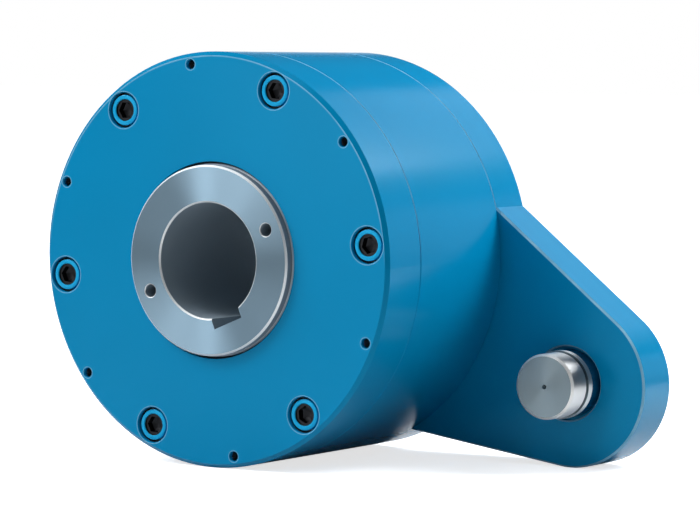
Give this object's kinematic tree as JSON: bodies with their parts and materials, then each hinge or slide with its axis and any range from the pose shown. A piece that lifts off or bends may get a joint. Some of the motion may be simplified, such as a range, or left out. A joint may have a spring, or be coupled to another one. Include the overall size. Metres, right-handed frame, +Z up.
{
  "type": "backstop clutch",
  "caption": "Shaft-mounted one-way locking clutch with a keyed inner ring, a round bolted housing, and a torque arm that carries a reaction pin.",
  "frame": {"origin": "middle of the shaft bore, on its axis and halfway along the inner ring", "axes": "the shaft axis lies along Y with the front cover towards -Y; +Z is up as the part stands on its housing and its arm; the torque arm points towards +X and down"},
  "size_m": [0.3007, 0.1484, 0.215],
  "materials": {
    "enamel": "gloss blue enamel",
    "ground_steel": "ground",
    "turned_steel": "turned bright",
    "hardened_steel": "hardened, ground",
    "bearing_steel": "honed",
    "spring_steel": "drawn wire",
    "cage_steel": "pressed sheet",
    "polyamide": "moulded",
    "seal_rubber": "moulded nitrile"
  },
  "bodies": {
    "housing": {"front_cover": "enamel", "outer_ring": "enamel", "torque_arm": "enamel", "front_cover_screws": "enamel", "torque_arm_screws": "enamel", "reaction_pin": "turned_steel", "arm_dowels": "hardened_steel", "bearing_shim": "hardened_steel", "front_bearing_outer_race": "bearing_steel", "rear_bearing_outer_race": "bearing_steel", "front_seal_spring": "spring_steel", "rear_seal_spring": "spring_steel", "front_seal": "seal_rubber", "rear_seal": "seal_rubber", "front_o_ring": "seal_rubber", "rear_o_ring": "seal_rubber"},
    "rotor": {"inner_ring": "ground_steel", "front_bearing_inner_race": "bearing_steel", "rear_bearing_inner_race": "bearing_steel", "front_retaining_ring": "hardened_steel", "rear_retaining_ring": "hardened_steel", "sprag_cage": "cage_steel", "front_energising_spring": "spring_steel", "rear_energising_spring": "spring_steel"},
    "front_ball_set": {"front_balls": "bearing_steel", "front_ball_cage": "polyamide"},
    "rear_ball_set": {"rear_balls": "bearing_steel", "rear_ball_cage": "polyamide"},
    "sprag_01": {"sprag_01": "hardened_steel"},
    "sprag_02": {"sprag_02": "hardened_steel"},
    "sprag_03": {"sprag_03": "hardened_steel"},
    "sprag_04": {"sprag_04": "hardened_steel"},
    "sprag_05": {"sprag_05": "hardened_steel"},
    "sprag_06": {"sprag_06": "hardened_steel"},
    "sprag_07": {"sprag_07": "hardened_steel"},
    "sprag_08": {"sprag_08": "hardened_steel"},
    "sprag_09": {"sprag_09": "hardened_steel"},
    "sprag_10": {"sprag_10": "hardened_steel"},
    "sprag_11": {"sprag_11": "hardened_steel"},
    "sprag_12": {"sprag_12": "hardened_steel"},
    "sprag_13": {"sprag_13": "hardened_steel"},
    "sprag_14": {"sprag_14": "hardened_steel"},
    "sprag_15": {"sprag_15": "hardened_steel"},
    "sprag_16": {"sprag_16": "hardened_steel"},
    "sprag_17": {"sprag_17": "hardened_steel"},
    "sprag_18": {"sprag_18": "hardened_steel"},
    "sprag_19": {"sprag_19": "hardened_steel"},
    "sprag_20": {"sprag_20": "hardened_steel"},
    "sprag_21": {"sprag_21": "hardened_steel"},
    "sprag_22": {"sprag_22": "hardened_steel"},
    "sprag_23": {"sprag_23": "hardened_steel"},
    "sprag_24": {"sprag_24": "hardened_steel"}
  },
  "joints": [
    {"name": "rotor_spin", "type": "hinge", "parent": "housing", "child": "rotor", "pos_m": [0, 0, 0], "axis": [0, 1, 0], "continuous": true},
    {"name": "front_balls_orbit", "type": "hinge", "parent": "housing", "child": "front_ball_set", "pos_m": [0, -0.039, 0], "axis": [0, 1, 0], "continuous": true},
    {"name": "rear_balls_orbit", "type": "hinge", "parent": "housing", "child": "rear_ball_set", "pos_m": [0, 0.039, 0], "axis": [0, 1, 0], "continuous": true},
    {"name": "sprag_01_tilt", "type": "hinge", "parent": "rotor", "child": "sprag_01", "pos_m": [0, 0, 0.06299], "axis": [0, -1, 0], "range_deg": [0, 5], "stiffness_Nm_per_rad": 0.02, "springref_deg": -17.19},
    {"name": "sprag_02_tilt", "type": "hinge", "parent": "rotor", "child": "sprag_02", "pos_m": [0.0163, 0, 0.06084], "axis": [0, -1, 0], "range_deg": [0, 5], "stiffness_Nm_per_rad": 0.02, "springref_deg": -17.19},
    {"name": "sprag_03_tilt", "type": "hinge", "parent": "rotor", "child": "sprag_03", "pos_m": [0.03149, 0, 0.05455], "axis": [0, -1, 0], "range_deg": [0, 5], "stiffness_Nm_per_rad": 0.02, "springref_deg": -17.19},
    {"name": "sprag_04_tilt", "type": "hinge", "parent": "rotor", "child": "sprag_04", "pos_m": [0.04454, 0, 0.04454], "axis": [0, -1, 0], "range_deg": [0, 5], "stiffness_Nm_per_rad": 0.02, "springref_deg": -17.19},
    {"name": "sprag_05_tilt", "type": "hinge", "parent": "rotor", "child": "sprag_05", "pos_m": [0.05455, 0, 0.03149], "axis": [0, -1, 0], "range_deg": [0, 5], "stiffness_Nm_per_rad": 0.02, "springref_deg": -17.19},
    {"name": "sprag_06_tilt", "type": "hinge", "parent": "rotor", "child": "sprag_06", "pos_m": [0.06084, 0, 0.0163], "axis": [0, -1, 0], "range_deg": [0, 5], "stiffness_Nm_per_rad": 0.02, "springref_deg": -17.19},
    {"name": "sprag_07_tilt", "type": "hinge", "parent": "rotor", "child": "sprag_07", "pos_m": [0.06299, 0, 0], "axis": [0, -1, 0], "range_deg": [0, 5], "stiffness_Nm_per_rad": 0.02, "springref_deg": -17.19},
    {"name": "sprag_08_tilt", "type": "hinge", "parent": "rotor", "child": "sprag_08", "pos_m": [0.06084, 0, -0.0163], "axis": [0, -1, 0], "range_deg": [0, 5], "stiffness_Nm_per_rad": 0.02, "springref_deg": -17.19},
    {"name": "sprag_09_tilt", "type": "hinge", "parent": "rotor", "child": "sprag_09", "pos_m": [0.05455, 0, -0.03149], "axis": [0, -1, 0], "range_deg": [0, 5], "stiffness_Nm_per_rad": 0.02, "springref_deg": -17.19},
    {"name": "sprag_10_tilt", "type": "hinge", "parent": "rotor", "child": "sprag_10", "pos_m": [0.04454, 0, -0.04454], "axis": [0, -1, 0], "range_deg": [0, 5], "stiffness_Nm_per_rad": 0.02, "springref_deg": -17.19},
    {"name": "sprag_11_tilt", "type": "hinge", "parent": "rotor", "child": "sprag_11", "pos_m": [0.03149, 0, -0.05455], "axis": [0, -1, 0], "range_deg": [0, 5], "stiffness_Nm_per_rad": 0.02, "springref_deg": -17.19},
    {"name": "sprag_12_tilt", "type": "hinge", "parent": "rotor", "child": "sprag_12", "pos_m": [0.0163, 0, -0.06084], "axis": [0, -1, 0], "range_deg": [0, 5], "stiffness_Nm_per_rad": 0.02, "springref_deg": -17.19},
    {"name": "sprag_13_tilt", "type": "hinge", "parent": "rotor", "child": "sprag_13", "pos_m": [0, 0, -0.06299], "axis": [0, -1, 0], "range_deg": [0, 5], "stiffness_Nm_per_rad": 0.02, "springref_deg": -17.19},
    {"name": "sprag_14_tilt", "type": "hinge", "parent": "rotor", "child": "sprag_14", "pos_m": [-0.0163, 0, -0.06084], "axis": [0, -1, 0], "range_deg": [0, 5], "stiffness_Nm_per_rad": 0.02, "springref_deg": -17.19},
    {"name": "sprag_15_tilt", "type": "hinge", "parent": "rotor", "child": "sprag_15", "pos_m": [-0.03149, 0, -0.05455], "axis": [0, -1, 0], "range_deg": [0, 5], "stiffness_Nm_per_rad": 0.02, "springref_deg": -17.19},
    {"name": "sprag_16_tilt", "type": "hinge", "parent": "rotor", "child": "sprag_16", "pos_m": [-0.04454, 0, -0.04454], "axis": [0, -1, 0], "range_deg": [0, 5], "stiffness_Nm_per_rad": 0.02, "springref_deg": -17.19},
    {"name": "sprag_17_tilt", "type": "hinge", "parent": "rotor", "child": "sprag_17", "pos_m": [-0.05455, 0, -0.03149], "axis": [0, -1, 0], "range_deg": [0, 5], "stiffness_Nm_per_rad": 0.02, "springref_deg": -17.19},
    {"name": "sprag_18_tilt", "type": "hinge", "parent": "rotor", "child": "sprag_18", "pos_m": [-0.06084, 0, -0.0163], "axis": [0, -1, 0], "range_deg": [0, 5], "stiffness_Nm_per_rad": 0.02, "springref_deg": -17.19},
    {"name": "sprag_19_tilt", "type": "hinge", "parent": "rotor", "child": "sprag_19", "pos_m": [-0.06299, 0, 0], "axis": [0, -1, 0], "range_deg": [0, 5], "stiffness_Nm_per_rad": 0.02, "springref_deg": -17.19},
    {"name": "sprag_20_tilt", "type": "hinge", "parent": "rotor", "child": "sprag_20", "pos_m": [-0.06084, 0, 0.0163], "axis": [0, -1, 0], "range_deg": [0, 5], "stiffness_Nm_per_rad": 0.02, "springref_deg": -17.19},
    {"name": "sprag_21_tilt", "type": "hinge", "parent": "rotor", "child": "sprag_21", "pos_m": [-0.05455, 0, 0.03149], "axis": [0, -1, 0], "range_deg": [0, 5], "stiffness_Nm_per_rad": 0.02, "springref_deg": -17.19},
    {"name": "sprag_22_tilt", "type": "hinge", "parent": "rotor", "child": "sprag_22", "pos_m": [-0.04454, 0, 0.04454], "axis": [0, -1, 0], "range_deg": [0, 5], "stiffness_Nm_per_rad": 0.02, "springref_deg": -17.19},
    {"name": "sprag_23_tilt", "type": "hinge", "parent": "rotor", "child": "sprag_23", "pos_m": [-0.03149, 0, 0.05455], "axis": [0, -1, 0], "range_deg": [0, 5], "stiffness_Nm_per_rad": 0.02, "springref_deg": -17.19},
    {"name": "sprag_24_tilt", "type": "hinge", "parent": "rotor", "child": "sprag_24", "pos_m": [-0.0163, 0, 0.06084], "axis": [0, -1, 0], "range_deg": [0, 5], "stiffness_Nm_per_rad": 0.02, "springref_deg": -17.19}
  ],
  "couplings": [
    {"joint": "front_balls_orbit", "follows": "rotor_spin", "ratio": 0.436},
    {"joint": "rear_balls_orbit", "follows": "rotor_spin", "ratio": 0.436},
    {"joint": "sprag_02_tilt", "follows": "sprag_01_tilt", "ratio": 1},
    {"joint": "sprag_03_tilt", "follows": "sprag_01_tilt", "ratio": 1},
    {"joint": "sprag_04_tilt", "follows": "sprag_01_tilt", "ratio": 1},
    {"joint": "sprag_05_tilt", "follows": "sprag_01_tilt", "ratio": 1},
    {"joint": "sprag_06_tilt", "follows": "sprag_01_tilt", "ratio": 1},
    {"joint": "sprag_07_tilt", "follows": "sprag_01_tilt", "ratio": 1},
    {"joint": "sprag_08_tilt", "follows": "sprag_01_tilt", "ratio": 1},
    {"joint": "sprag_09_tilt", "follows": "sprag_01_tilt", "ratio": 1},
    {"joint": "sprag_10_tilt", "follows": "sprag_01_tilt", "ratio": 1},
    {"joint": "sprag_11_tilt", "follows": "sprag_01_tilt", "ratio": 1},
    {"joint": "sprag_12_tilt", "follows": "sprag_01_tilt", "ratio": 1},
    {"joint": "sprag_13_tilt", "follows": "sprag_01_tilt", "ratio": 1},
    {"joint": "sprag_14_tilt", "follows": "sprag_01_tilt", "ratio": 1},
    {"joint": "sprag_15_tilt", "follows": "sprag_01_tilt", "ratio": 1},
    {"joint": "sprag_16_tilt", "follows": "sprag_01_tilt", "ratio": 1},
    {"joint": "sprag_17_tilt", "follows": "sprag_01_tilt", "ratio": 1},
    {"joint": "sprag_18_tilt", "follows": "sprag_01_tilt", "ratio": 1},
    {"joint": "sprag_19_tilt", "follows": "sprag_01_tilt", "ratio": 1},
    {"joint": "sprag_20_tilt", "follows": "sprag_01_tilt", "ratio": 1},
    {"joint": "sprag_21_tilt", "follows": "sprag_01_tilt", "ratio": 1},
    {"joint": "sprag_22_tilt", "follows": "sprag_01_tilt", "ratio": 1},
    {"joint": "sprag_23_tilt", "follows": "sprag_01_tilt", "ratio": 1},
    {"joint": "sprag_24_tilt", "follows": "sprag_01_tilt", "ratio": 1}
  ]
}
